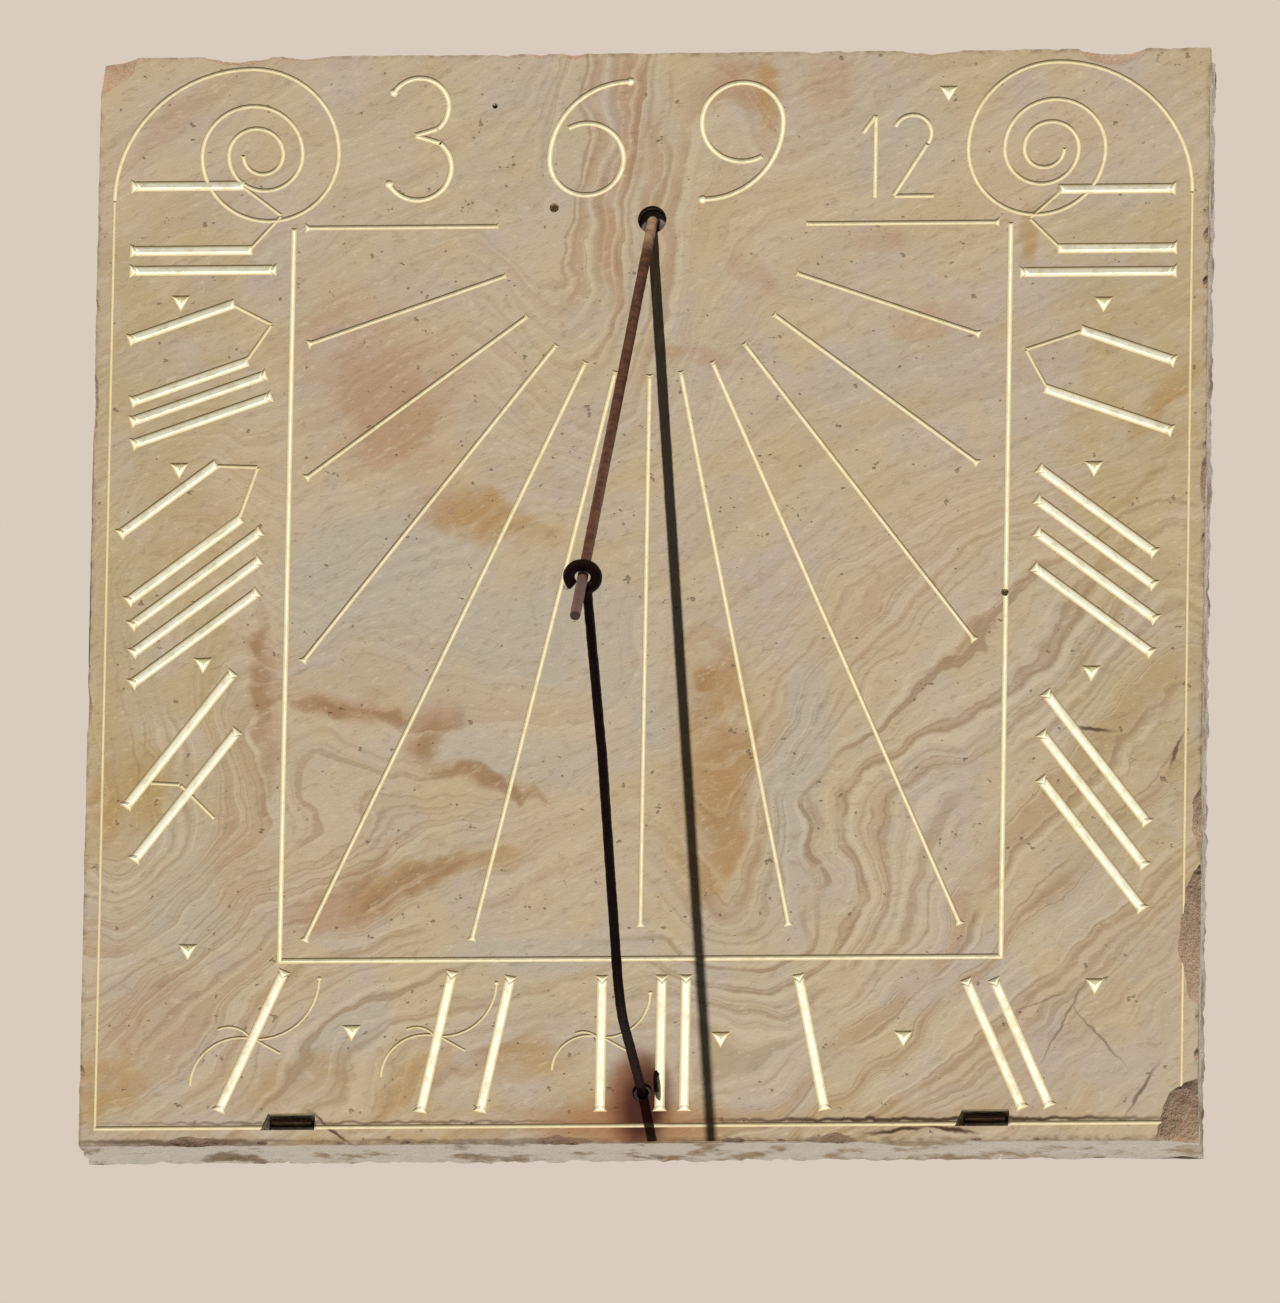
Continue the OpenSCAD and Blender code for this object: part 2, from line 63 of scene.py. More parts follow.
# How far the work reaches into the stone, and the depth behind the face where it is at its roughest
edge_wear = 0.9 * mm
edge_least = 0.3 * mm
edge_rough = 2.2 * mm
edge_rough_from = 30 * mm
back_rough = 2.6 * mm
front_line = 0.5 * mm

# Sizes of the lumps that it leaves, and how near two places count as one
edge_lump = 9 * mm
level_lump = 7 * mm
back_lump = 22 * mm
touching = 1e-6


def welded_copy(node, name):
    """A copy of a node's mesh as a new object, with its loose triangles joined."""
    piece = bpy.data.objects.new(name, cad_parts[node].data.copy())
    piece.data.materials.clear()
    if "custom_normal" in piece.data.attributes:
        piece.data.attributes.remove(piece.data.attributes["custom_normal"])
    bpy.context.scene.collection.objects.link(piece)
    shape = bmesh.new()
    shape.from_mesh(piece.data)
    bmesh.ops.remove_doubles(shape, verts=shape.verts, dist=touching)
    shape.to_mesh(piece.data)
    shape.free()
    return piece


def settle(piece):
    """Turns a piece's modifiers into its mesh."""
    graph = bpy.context.evaluated_depsgraph_get()
    mesh = bpy.data.meshes.new_from_object(piece.evaluated_get(graph))
    piece.modifiers.clear()
    piece.data = mesh
    mesh.name = piece.name


def on_plane(face, axis, level):
    """True if a face lies in the plane where that axis has that level."""
    return all(abs(corner.co[axis] - level) < touching for corner in face.verts)


def score(shape, marks, axis, low, high, step):
    """Cuts the faces that have any of the marks by evenly spaced planes square to an axis."""
    layer = shape.faces.layers.int["scored"]
    count = round((high - low) / step)
    for number in range(1, count):
        faces = [face for face in shape.faces if face[layer] & marks]
        edges = {edge for face in faces for edge in face.edges}
        corners = {corner for face in faces for corner in face.verts}
        point = Vector()
        point[axis] = low + (high - low) * number / count
        normal = Vector()
        normal[axis] = 1
        bmesh.ops.bisect_plane(shape, geom=faces + list(edges) + list(corners), dist=touching,
                               plane_co=point, plane_no=normal)


def hewn(point, size):
    """A rough value from nought to one that changes over about that size."""
    return min(1, max(0, 0.5 + 0.6 * noise.fractal(point / size, 0.7, 2.1, 4)))


def dress_stone(piece):
    """Gives the slab's edges and back the pick's rough work and wears its front edge."""
    across, deep, up = 0, 1, 2
    upright, level, back = 1, 2, 4
    shape = bmesh.new()
    shape.from_mesh(piece.data)
    layer = shape.faces.layers.int.new("scored")
    for face in shape.faces:
        is_upright = on_plane(face, across, half_w) or on_plane(face, across, -half_w)
        is_level = on_plane(face, up, half_h) or on_plane(face, up, -half_h)
        is_back = on_plane(face, deep, slab_high.y)
        face[layer] = is_upright * upright + is_level * level + is_back * back
    score(shape, upright, up, -half_h, half_h, edge_step)
    score(shape, level, across, -half_w, half_w, edge_step)
    score(shape, upright + level, deep, face_y, face_y + front_band, front_step)
    score(shape, upright + level, deep, face_y + front_band - side_step, slab_high.y, side_step)
    score(shape, back, across, -half_w, half_w, back_step)
    score(shape, back, up, -half_h, half_h, back_step)
    elsewhere = Vector((0.3, 0, 0))
    for corner in shape.verts:
        at = corner.co.copy()
        depth = at.y - face_y
        inward = edge_least + edge_rough * min(1, depth / edge_rough_from)
        if depth < front_line:
            inward = edge_wear
        inward *= hewn(at, edge_lump)
        if half_w - abs(at.x) < touching:
            corner.co.x -= math.copysign(inward, at.x)
        if half_h - abs(at.z) < touching:
            corner.co.z -= math.copysign(inward * hewn(at + elsewhere, level_lump) ** 0.5, at.z)
        if slab_high.y - at.y < touching:
            corner.co.y -= back_rough * hewn(at, back_lump)
    shape.faces.layers.int.remove(layer)
    shape.to_mesh(piece.data)
    shape.free()


# Broken places: side, height above the slab's middle, reach and how far the reach starts in front
# of the face, all in millimetres, as in the construction drawing
half_w_mm = half_w / mm
half_h_mm = half_h / mm
breaks = [(-half_w_mm - 3, half_h_mm + 4, 24, 10), (-half_w_mm + 75, half_h_mm + 36, 42, 14),
          (-half_w_mm + 110, half_h_mm + 30, 34, 12), (half_w_mm - 53, half_h_mm + 14, 23, 8),
          (half_w_mm - 150, half_h_mm + 40, 44, 14), (half_w_mm + 81, -190, 120, 80),
          (half_w_mm + 9, -half_h_mm + 4, 40, 28), (half_w_mm + 30, -126, 44, 29),
          (-half_w_mm - 50, 110, 54, 18), (-half_w_mm - 34, -60, 38, 14),
          (-half_w_mm + 62, -half_h_mm - 30, 34, 11), (-40, -half_h_mm - 42, 46, 14),
          (half_w_mm - 196, -half_h_mm - 30, 34, 11), (half_w_mm + 46, 60, 50, 17)]
flake_grain = 7 * mm
flake_rough = 3.2 * mm

# Small chips in turn along the four edges: how far along as a share, their reach in millimetres
# and how far out of the stone as a share of it
small_breaks = 44
small_seed = 40
small_along = 0.96
small_reach = (2.5, 6.5)
small_out = (0.55, 0.8)


def flake(at, reach, seed, fresh):
    """A rough lump, never smaller than its reach, that takes a flake off the stone."""
    shape = bmesh.new()
    fineness = 3 + sum(reach > size * mm for size in (12, 39, 100))
    bmesh.ops.create_icosphere(shape, subdivisions=fineness, radius=1)
    for corner in shape.verts:
        way = corner.co.normalized()
        spot = way * reach / flake_grain + Vector((seed * 3.7, seed * 1.3, 0))
        ragged = noise.fractal(spot, 0.8, 2.2, 3)
        corner.co = at + way * (reach + (0.5 + 0.5 * ragged) * min(flake_rough, reach * 0.3))
    cutter = bpy.data.objects.new("flake", bpy.data.meshes.new("flake"))
    shape.to_mesh(cutter.data)
    shape.free()
    cutter.data.materials.append(fresh)
    bpy.context.scene.collection.objects.link(cutter)
    return cutter


def chip_edges(piece, fresh):
    """Breaks the flakes out of the slab's front edge, one after another."""
    draw = random.Random(7)
    flakes = []
    for number, (side, height, reach, out) in enumerate(breaks):
        at = Vector((side * mm, face_y - out * mm, height * mm))
        flakes.append(flake(at, reach * mm, number, fresh))
    for number in range(small_breaks):
        along = draw.uniform(-small_along, small_along)
        reach = draw.uniform(*small_reach) * mm
        out = reach * draw.uniform(*small_out)
        places = [(along * half_w, half_h + out), (along * half_w, -half_h - out),
                  (half_w + out, along * half_h), (-half_w - out, along * half_h)]
        x, z = places[number % len(places)]
        at = Vector((x, face_y - out * 0.4, z))
        flakes.append(flake(at, reach, number + small_seed, fresh))
    for cutter in flakes:
        cut = piece.modifiers.new("chip", "BOOLEAN")
        cut.operation = "DIFFERENCE"
        cut.solver = "MANIFOLD"
        cut.material_mode = "TRANSFER"
        cut.object = cutter
    settle(piece)
    for cutter in flakes:
        bpy.data.objects.remove(cutter)


class Value:
    """One socket in a node tree, so that a pattern is written as a sum."""

    def __init__(self, nodes, socket):
        self.nodes = nodes
        self.socket = socket

    def maths(self, operation, *numbers):
        return self.nodes.node("ShaderNodeMath", {"operation": operation}, dict(enumerate(numbers)))

    def __add__(self, other):
        return self.maths("ADD", self, other)

    def __sub__(self, other):
        return self.maths("SUBTRACT", self, other)

    def __rsub__(self, other):
        return self.maths("SUBTRACT", other, self)

    def __mul__(self, other):
        return self.maths("MULTIPLY", self, other)

    __radd__ = __add__
    __rmul__ = __mul__

    def larger(self, other):
        return self.maths("MAXIMUM", self, other)

    def smaller(self, other):
        return self.maths("MINIMUM", self, other)

    def distance(self, other):
        """How far it is from a number, on either side."""
        return self.maths("ABSOLUTE", self - other)

    def between(self, low, high):
        """Nought below low, one above high, and the other way about where low is the larger."""
        return self.nodes.node("ShaderNodeMapRange", {"interpolation_type": "SMOOTHSTEP"},
                               {0: self, 1: low, 2: high})


class Nodes:
    """A node tree that is built one call at a time."""

    def __init__(self, tree):
        self.tree = tree
        self.tree.nodes.clear()

    def node(self, kind, settings=None, sockets=None, output=0):
        """A node of that type. Its settings come first, then its sockets' values and links."""
        made = self.tree.nodes.new(kind)
        for name, value in (settings or {}).items():
            setattr(made, name, value)
        for name, value in (sockets or {}).items():
            if isinstance(value, Value):
                self.tree.links.new(made.inputs[name], value.socket)
            else:
                made.inputs[name].default_value = value
        return Value(self, made.outputs[output]) if made.outputs else None


class Finish(Nodes):
    """A material. Places in it are in millimetres."""

    def __init__(self, name):
        self.material = bpy.data.materials.new(name)
        self.material.use_nodes = True
        super().__init__(self.material.node_tree)
        place = self.node("ShaderNodeTexCoord", output="Object")
        self.at = self.vector("SCALE", {0: place, "Scale": 1000})

    def vector(self, operation, sockets, output=0):
        return self.node("ShaderNodeVectorMath", {"operation": operation}, sockets, output)

    def part(self, vector, axis):
        """A vector's part across, deep or up, as axis is 0, 1 or 2."""
        return self.node("ShaderNodeSeparateXYZ", None, {0: vector}, axis)

    def cloud(self, size, detail=2.0, roughness=0.5, at=None, stretch=(1, 1, 1), turn=(0, 0, 0)):
        """Noise whose lumps are about that size, about nought to one."""
        spot = self.node("ShaderNodeMapping", {"vector_type": "TEXTURE"},
                         {0: at or self.at, "Scale": stretch, "Rotation": turn})
        return self.node("ShaderNodeTexNoise", None, {"Vector": spot, "Scale": 1 / size,
                         "Detail": detail, "Roughness": roughness})

    def streak(self, along, detail, roughness):
        """Noise that changes in one direction only, once for each unit of along."""
        return self.node("ShaderNodeTexNoise", {"noise_dimensions": "1D"},
                         {"W": along, "Scale": 1.0, "Detail": detail, "Roughness": roughness})

    def patch(self, at, centre, radii, lean=0, soft=0.5):
        """An oval mark on the face: centre and radii across and up, leaning by so many degrees."""
        spot = self.node("ShaderNodeMapping", {"vector_type": "TEXTURE"},
                         {0: at, "Location": (centre[0], 0, centre[1]),
                          "Rotation": (0, math.radians(-lean), 0), "Scale": (radii[0], 1, radii[1])})
        return self.vector("LENGTH", {0: spot}, "Value").between(1 + soft, 1 - soft)

    def patches(self, at, marks):
        """The strongest at each place of a list of marks."""
        strongest = None
        for centre, radii, lean, strength in marks:
            mark = self.patch(at, centre, radii, lean, 0.6) * strength
            strongest = strongest.larger(mark) if strongest else mark
        return strongest

    def wander(self, at, size, reach):
        """Places that are pushed about by up to half the reach, in lumps of that size."""
        push = self.node("ShaderNodeTexNoise", None, {"Vector": at, "Scale": 1 / size, "Detail": 2.0,
                         "Roughness": 0.55}, 1)
        push = self.vector("SUBTRACT", {0: push, 1: (0.5, 0.5, 0.5)})
        push = self.vector("MULTIPLY", {0: push, 1: (reach, 0, reach)})
        return self.vector("ADD", {0: at, 1: push})

    def mix(self, share, under, over):
        """Over laid on under by share."""
        return self.node("ShaderNodeMix", {"data_type": "RGBA"}, {0: share, 6: under, 7: over}, 2)

    def bump(self, height, depth):
        """Relief of that depth in millimetres where height goes from nought to one."""
        return self.node("ShaderNodeBump", None,
                         {"Height": height, "Distance": depth * mm, "Strength": 1.0})

    def surface(self, colour, roughness, normal, metallic=0.0, shine=0.25):
        shader = self.node("ShaderNodeBsdfPrincipled", None,
                           {"Base Color": colour, "Roughness": roughness, "Normal": normal,
                            "Metallic": metallic, "Specular IOR Level": shine})
        self.node("ShaderNodeOutputMaterial", None, {"Surface": shader})


def tint(red, green, blue):
    """A colour as it looks on a screen, from 0 to 255."""
    parts = [part / 255 for part in (red, green, blue)]
    return tuple(part / 12.92 if part < 0.04045 else ((part + 0.055) / 1.055) ** 2.4
                 for part in parts) + (1.0,)


# The beds rise to the right, by these shares up and across, and are so many millimetres thick. They
# turn in places, as the grain of wood does round knots: each turn has its centre, its radii, the
# first radius's slope and the beds' own slope there. At a knot they swell by so many millimetres.
bed_up = 0.86
bed_across = 0.5
broad_bed = 23
fine_bed = 5
turns = [((140, -120), (210, 90), 58, 62), ((240, -170), (90, 200), 0, 47),
         ((170, 130), (150, 90), 20, 20), ((-14, 225), (64, 150), 0, 84),
         ((-262, -60), (60, 130), 0, 96), ((-110, -60), (110, 60), 0, -10),
         ((-230, -240), (90, 70), 40, 44), ((-60, -225), (120, 50), 0, 12)]
knots = [((106, -106), (60, 24), 0, -16), ((104, -196), (60, 34), 0, 24),
         ((-120, -84), (34, 26), 0, 12), ((46, -96), (26, 60), 0, 20)]

# Marks in the stone, in millimetres from the slab's middle: each has its centre, its radii, the first
# radius's slope in degrees and its strength. They are grey patches, rusty and ochre stains, dark
# brown seams, and cracks with broken lips; two long lines among the cracks, on the bottom edge itself,
# are painted shadow of the mortar joint below.
greys = [((-150, 10), (54, 40), 10, 0.9), ((-58, -20), (70, 34), 0, 0.8), ((2, -56), (24, 34), 0, 0.75),
         ((84, -94), (16, 66), -4, 1.0), ((-48, -200), (56, 12), 2, 0.9),
         ((-243, -168), (34, 24), 45, 0.8), ((-161, -246), (36, 14), 42, 0.9),
         ((125, 252), (46, 34), 0, 0.6), ((-66, 268), (32, 38), 0, 0.5), ((238, 226), (30, 26), 30, 0.5),
         ((120, 120), (60, 20), 20, 0.5), ((-60, -90), (60, 16), -8, 0.7), ((75, -240), (26, 30), 30, 0.5),
         ((230, -40), (34, 18), 35, 0.5), ((-170, 200), (60, 30), 0, 0.4)]
rusts = [((-143, 108), (44, 26), -62, 1.0), ((-146, 118), (70, 46), -50, 0.55),
         ((-96, 47), (32, 14), -20, 0.7), ((-13, 262), (8, 50), -3, 0.9), ((-24, 192), (7, 46), 4, 0.85),
         ((2, 232), (5, 40), 2, 0.7), ((48, 282), (22, 18), 0, 0.8), ((54, 176), (22, 7), -35, 0.6),
         ((26, 131), (34, 6), -12, 0.6), ((120, 196), (20, 11), 15, 0.55), ((154, 152), (24, 12), 20, 0.55),
         ((92, 280), (13, 18), 0, 0.6), ((-161, -168), (36, 14), 22, 0.8), ((-214, -150), (20, 36), 12, 0.5),
         ((-204, -56), (8, 48), 6, 0.7), ((-160, -60), (38, 8), -6, 0.9), ((-114, -74), (11, 17), -30, 0.8),
         ((-84, -99), (36, 5), -14, 0.6), ((-262, -230), (34, 26), 40, 0.55), ((34, -40), (8, 8), 0, 0.9),
         ((-250, 40), (26, 22), 0, 0.5), ((-256, 268), (40, 10), 50, 0.5), ((262, -20), (30, 12), 45, 0.4)]
ochres = [((-88, 44), (24, 14), -24, 0.8), ((-64, 30), (20, 10), -12, 0.55),
          ((-134, -160), (26, 8), 18, 0.7), ((-96, -150), (38, 8), 12, 0.6),
          ((-270, -106), (14, 26), 8, 0.8), ((-290, -112), (8, 22), 0, 0.9),
          ((-124, -268), (34, 11), 32, 0.8),
          ((-190, -268), (38, 14), 15, 0.6), ((-58, -255), (28, 12), 10, 0.7),
          ((-286, -266), (18, 24), 0, 0.7), ((278, 104), (24, 8), 42, 0.9), ((203, 194), (7, 18), 0, 0.8),
          ((60, 276), (8, 22), 10, 0.8), ((30, -286), (260, 9), 0, 0.45), ((-80, -297), (220, 5), 0, 0.55),
          ((40, -118), (14, 46), 10, 0.7)]
browns = [((-158, -61), (42, 5), -7, 0.9), ((-110, -78), (8, 14), -30, 0.8),
          ((-82, -101), (38, 4), -14, 0.8), ((-126, -160), (42, 8), 20, 0.7),
          ((-206, -62), (5, 66), 4, 0.7), ((34, -41), (6, 7), 0, 0.9), ((-150, -152), (16, 5), 60, 0.7),
          ((-252, -214), (44, 5), 52, 0.5), ((-90, -262), (60, 5), 30, 0.5),
          ((268, 60), (34, 4), 48, 0.6), ((176, -20), (60, 3), 42, 0.6), ((92, -150), (70, 3), 84, 0.5)]
cracks_and_edge_shadow = [((241, -76), (10, 1.0), -8, 0.9), ((228, -236), (26, 0.6), 62, 0.5),
          ((246, -244), (20, 0.6), -48, 0.5), ((214, -226), (14, 0.5), 20, 0.4),
          ((160, -289.6), (122, 1.2), 0, 1.0), ((-164, -293), (14, 1.0), -38, 0.9),
          ((-150, -289.6), (130, 0.8), 0, 0.6), ((270, -274), (14, 0.9), 58, 0.7),
          # The two long lines on the bottom edge itself are painted shadow of the mortar joint below the
          # slab
          ((286, -88), (9, 0.9), 70, 0.8), ((-248, -299.8), (60, 1.5), 0, 0.8),
          ((-60, -300), (120, 1.1), 0, 0.45), ((140, -295.4), (16, 1.1), 7, 1.0),
          ((167, -295.3), (14, 1.1), -9, 1.0)]


def socket_middle(lead):
    """Where a drilled socket's middle lies on the face, found from the lead that fills it."""
    low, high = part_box(lead)
    return (low.x + high.x) / 2 / mm, (low.z + high.z) / 2 / mm


def bed_height(stone, at):
    """How high each place lies in the stack of beds, in millimetres."""
    across = stone.part(at, 0)
    up = stone.part(at, 2)
    bed = up * bed_up - across * bed_across
    for centre, radii, lean, slope in turns:
        rise, run = math.sin(math.radians(slope)), math.cos(math.radians(slope))
        level = centre[1] * (bed_up - run) - centre[0] * (bed_across - rise)
        turned = up * run - across * rise + level
        bed = bed + (turned - bed) * stone.patch(at, centre, radii, lean, 0.45)
    for centre, radii, lean, rise in knots:
        bed = bed + stone.patch(at, centre, radii, lean, 0.9) * rise
    return bed


def beds(stone, flat, at):
    """Values that rise and fall across the broad and the fine beds, and how clearly both show."""
    bed = bed_height(stone, at)
    sway = stone.cloud(22, 3, 0.55, flat) - 0.5
    broad = stone.streak(bed * (1 / broad_bed) + sway * 0.5, 1.6, 0.5)
    fine = stone.streak(bed * (1 / fine_bed) + sway * 1.6, 1.6, 0.5)
    clear = stone.patch(at, (160, -140), (200, 120), 58, 0.4)
    clear = clear.larger(stone.patch(at, (-15, 235), (40, 110), 0, 0.4) * 0.9)
    clear = clear.larger(stone.patch(at, (-200, -170), (120, 120), 20, 0.5) * 0.75)
    shown = (clear * 0.7 + 0.3) * stone.cloud(40, 2, 0.5, flat).between(0.28, 0.5)
    return broad, fine, shown


def as_quarried(stone, flat, x, z):
    """The colour of the ground, of its beds and of the iron and clay that stain them."""
    # The ground wanders between warm, yellow and grey
    at = stone.wander(flat, 60, 34)
    greyer = stone.cloud(46, 3, 0.55, at).between(0.36, 0.64)
    colour = stone.mix(greyer, tint(190, 169, 134), tint(184, 168, 148))
    warmer = stone.cloud(90, 2, 0.5, flat).between(0.5, 0.66)
    colour = stone.mix(warmer * 0.6, colour, tint(196, 172, 138))

    # Broad beds, brown and pale by turns, clear in three places and faint elsewhere
    broad, fine, shown = beds(stone, flat, at)
    colour = stone.mix(broad.between(0.5, 0.62) * shown * 0.7, colour, tint(174, 146, 112))
    colour = stone.mix(broad.between(0.47, 0.36) * shown * 0.5, colour, tint(194, 178, 152))

    # Grey patches and stains, whose outlines the beds break up a little
    ragged = (broad - 0.5) * 0.7 + (stone.cloud(16, 4, 0.6, flat) - 0.5) * 1.5
    for marks, shade in [(greys, tint(180, 169, 149)), (rusts, tint(176, 140, 108)),
                         (ochres, tint(174, 138, 86)), (browns, tint(152, 117, 82))]:
        where = stone.patches(at, marks)
        colour = stone.mix((where + ragged * where).between(0.12, 1.0) * 0.85, colour, shade)
        at = stone.wander(at, 20, 7)

    # A crescent of iron-brown stone right of the middle, sharp on its right and faded on its left
    crescent = stone.patch(stone.wander(flat, 30, 8), (30, -95), (32, 78), 0, 0.12) * x.between(0, 44)
    crescent = crescent * stone.cloud(26, 3, 0.6, flat).between(0.25, 0.6)
    colour = stone.mix(crescent * 0.8, colour, tint(170, 132, 84))

    # The two side columns have yellowed between the volutes and the dial's foot
    yellowed = x.distance(0).distance(264).between(52, 28) * z.between(-200, -110) * z.between(240, 190)
    yellowed = yellowed * stone.cloud(30, 3, 0.6, flat).between(0.3, 0.6)
    colour = stone.mix(yellowed * 0.5, colour, tint(176, 154, 104))

    # Thin iron-brown lines and pale streaks run along the beds
    brown_line = broad.distance(0.53).between(0.02, 0.0)
    colour = stone.mix(brown_line * shown * 0.55, colour, tint(146, 116, 84))
    colour = stone.mix(fine.between(0.54, 0.68) * shown * 0.45, colour, tint(154, 129, 99))
    return stone.mix(fine.between(0.45, 0.33) * shown * 0.38, colour, tint(212, 195, 164))


def weathered(stone, flat, colour):
    """The colour with specks, cracks, painted shadow along the bottom edge and rust on it, and the relief
    that grains and pits give.
    """
    # Streaky specks, grains and small pits
    grit = stone.cloud(1.0, 3, 0.6)
    speck = stone.cloud(3.2, 3, 0.65, stretch=(2.2, 1, 1), turn=(0, math.radians(-25), 0))
    colour = stone.mix(speck.between(0.56, 0.7) * 0.32, colour, tint(140, 118, 90))
    colour = stone.mix(speck.between(0.42, 0.3) * 0.3, colour, tint(212, 197, 166))
    colour = stone.mix(grit.between(0.42, 0.3) * 0.3, colour, tint(146, 125, 96))
    colour = stone.mix(grit.between(0.58, 0.7) * 0.25, colour, tint(214, 198, 168))
    pits = stone.cloud(6, 2, 0.7).between(0.69, 0.75)
    colour = stone.mix(pits * 0.6, colour, tint(104, 82, 60))
    relief = grit * 0.5 + speck * 0.8 - pits * 0.9

    # A few cracks and painted shadow on the bottom edge, and rust washed out of the strut's foot and spread
    # along the bottom line
    at = stone.wander(flat, 9, 5)
    colour = stone.mix(stone.patches(at, cracks_and_edge_shadow), colour, tint(78, 57, 37))
    spread = stone.patch(at, (-4, -291), (46, 12), 0, 0.5)
    colour = stone.mix(spread * 0.7, colour, tint(158, 106, 64))
    wash = stone.patch(at, (0, -276), (17, 25), -6, 0.35)
    colour = stone.mix(wash * 0.9, colour, tint(128, 78, 50))
    core = stone.patch(at, (4, -281), (12, 22), -6, 0.5)
    return stone.mix(core * 0.92, colour, tint(60, 24, 17)), relief


def sandstone(name, broken=False):
    """Banded sandstone, as rubbed and cut in front and hewn behind, or freshly broken."""
    stone = Finish(name)
    x = stone.part(stone.at, 0)
    depth = stone.part(stone.at, 1) - face_y / mm
    z = stone.part(stone.at, 2)
    flat = stone.vector("MULTIPLY", {0: stone.at, 1: (1, 0, 1)})
    colour = as_quarried(stone, flat, x, z)
    colour, relief = weathered(stone, flat, colour)

    # Freshly broken stone is redder, with painted shade in the low places of its relief
    rough = stone.cloud(2.2, 4, 0.65)
    if broken:
        colour = stone.mix(rough.between(0.3, 0.6) * 0.8, colour, tint(176, 138, 112))
        colour = stone.mix(rough.between(0.4, 0.28) * 0.75, colour, tint(92, 66, 50))
        stone.surface(colour, 0.95, stone.bump(rough, 1.6))
        return stone.material

    # The walls of the two drilled sockets are darkened with painted shade, as recesses in shadow
    edge = (half_w_mm - x.distance(0)).smaller(half_h_mm - z.distance(0))
    shaded_socket_walls = stone.patch(flat, socket_middle("gnomon_lead"), (9.5, 9.5), 0, 0.08)
    shaded_socket_walls = shaded_socket_walls.larger(stone.patch(flat, socket_middle("strut_lead"), (7, 7), 0, 0.08))
    colour = stone.mix(shaded_socket_walls * depth.between(0.1, 0.4), colour, tint(70, 46, 34))

    # The cut lines: lime and pale dust fill the bottom of each V, and painted shade darkens the down-facing
    # wall just under its upper lip
    cut = depth.between(0.05, 0.22) * depth.between(3.6, 3.0) * edge.between(1.0, 1.6) * (1 - shaded_socket_walls)
    facing_up = stone.part(stone.node("ShaderNodeNewGeometry", output="Normal"), 2)
    pale = stone.mix(depth.between(0.7, 1.5), tint(221, 202, 155), tint(255, 249, 220))
    pale = stone.mix(stone.cloud(5, 3, 0.6).between(0.45, 0.7) * 0.5, pale, tint(208, 188, 144))
    # Painted shade: walls that face downwards are darkened within about 0.8 mm of the face, as if the lip
    # shadowed them
    lip_painted_shade = facing_up.between(-0.25, -0.55) * depth.between(0.8, 0.4)
    pale = stone.mix(lip_painted_shade * 0.85, pale, tint(106, 86, 54))
    colour = stone.mix(cut * 0.95, colour, pale)
    filled = cut * facing_up.between(-0.70, -0.675) * depth.between(0.3, 0.6) * 0.85

    # Darker in blotches along the outer edge, then mortar on the hewn sides and back
    darker_edge = edge.between(3.5, 0.2) * stone.cloud(6, 3, 0.6).between(0.4, 0.65)
    colour = stone.mix(darker_edge * 0.6, colour, tint(120, 96, 70))
    hidden = depth.between(3.5, 6)
    mortar = stone.cloud(28, 4, 0.6).between(0.36, 0.5)
    colour = stone.mix(hidden * mortar * 0.9, colour, tint(212, 200, 184))
    colour = stone.mix(hidden * (1 - mortar) * 0.45, colour, tint(150, 124, 94))

    # Where dust fills a cut, its surface turns to the front and a little upwards
    normal = stone.bump(relief + rough * hidden * 3.5, 0.4)
    dusty = stone.vector("SCALE", {0: (0.0, -0.93, 0.36), "Scale": filled})
    bare = stone.vector("SCALE", {0: normal, "Scale": 1 - filled})
    normal = stone.vector("NORMALIZE", {0: stone.vector("ADD", {0: dusty, 1: bare})})
    stone.surface(colour, 0.9, normal)
    return stone.material


dial_stone = welded_copy("dial_slab", "dial_stone")
dress_stone(dial_stone)
dial_stone.data.materials.append(sandstone("rubbed_sandstone"))
chip_edges(dial_stone, sandstone("broken_sandstone", broken=True))

# Cut edges stay sharp and the rubbed face stays flat
sharp_from = math.radians(32)
flat_from = 0.9999
dial_stone.data.set_sharp_from_angle(angle=sharp_from)
for face in dial_stone.data.polygons:
    if abs(face.normal.y) > flat_from:
        face.use_smooth = False
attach(dial_stone, "root")
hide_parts("dial_slab")


# The gnomon rod: round wrought iron drawn down by hand, rusted brown all over, whose tail is bent
# square to the face and run in with lead. Lime from the wall has paled its root.
forge_loss = 0.05 * mm
forge_lump = 5 * mm


def forged_copy(node, name, grain, rough):
    """A copy of an iron or lead piece with the slightly uneven skin of hand work."""
    piece = welded_copy(node, name)
    skin = piece.modifiers.new("skin", "REMESH")
    skin.mode = "VOXEL"
    skin.voxel_size = grain
    settle(piece)
    shape = bmesh.new()
    shape.from_mesh(piece.data)
    shape.normal_update()
    places = [(corner, corner.co.copy(), corner.normal.copy()) for corner in shape.verts]
    for corner, at, normal in places:
        corner.co = at - normal * (forge_loss + rough * hewn(at, forge_lump))
    for face in shape.faces:
        face.smooth = True
    shape.to_mesh(piece.data)
    shape.free()
    return piece


def rusted(iron, skin, dark, bright):
    """Iron's colour and relief: its skin with dark scale and brighter rust on it."""
    scale = iron.cloud(7, 4, 0.65)
    spots = iron.cloud(1.3, 3, 0.65)
    colour = iron.mix(scale.between(0.42, 0.6), skin, dark)
    colour = iron.mix(spots.between(0.55, 0.72) * 0.7, colour, bright)
    colour = iron.mix(spots.between(0.42, 0.3) * 0.6, colour, dark)
    return colour, iron.bump(scale * 0.6 + spots, 0.28)


def fit_piece(piece, node, material):
    """Gives a piece its material and puts it in the place of its plain one."""
    piece.data.materials.append(material)
    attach(piece, "root")
    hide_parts(node)


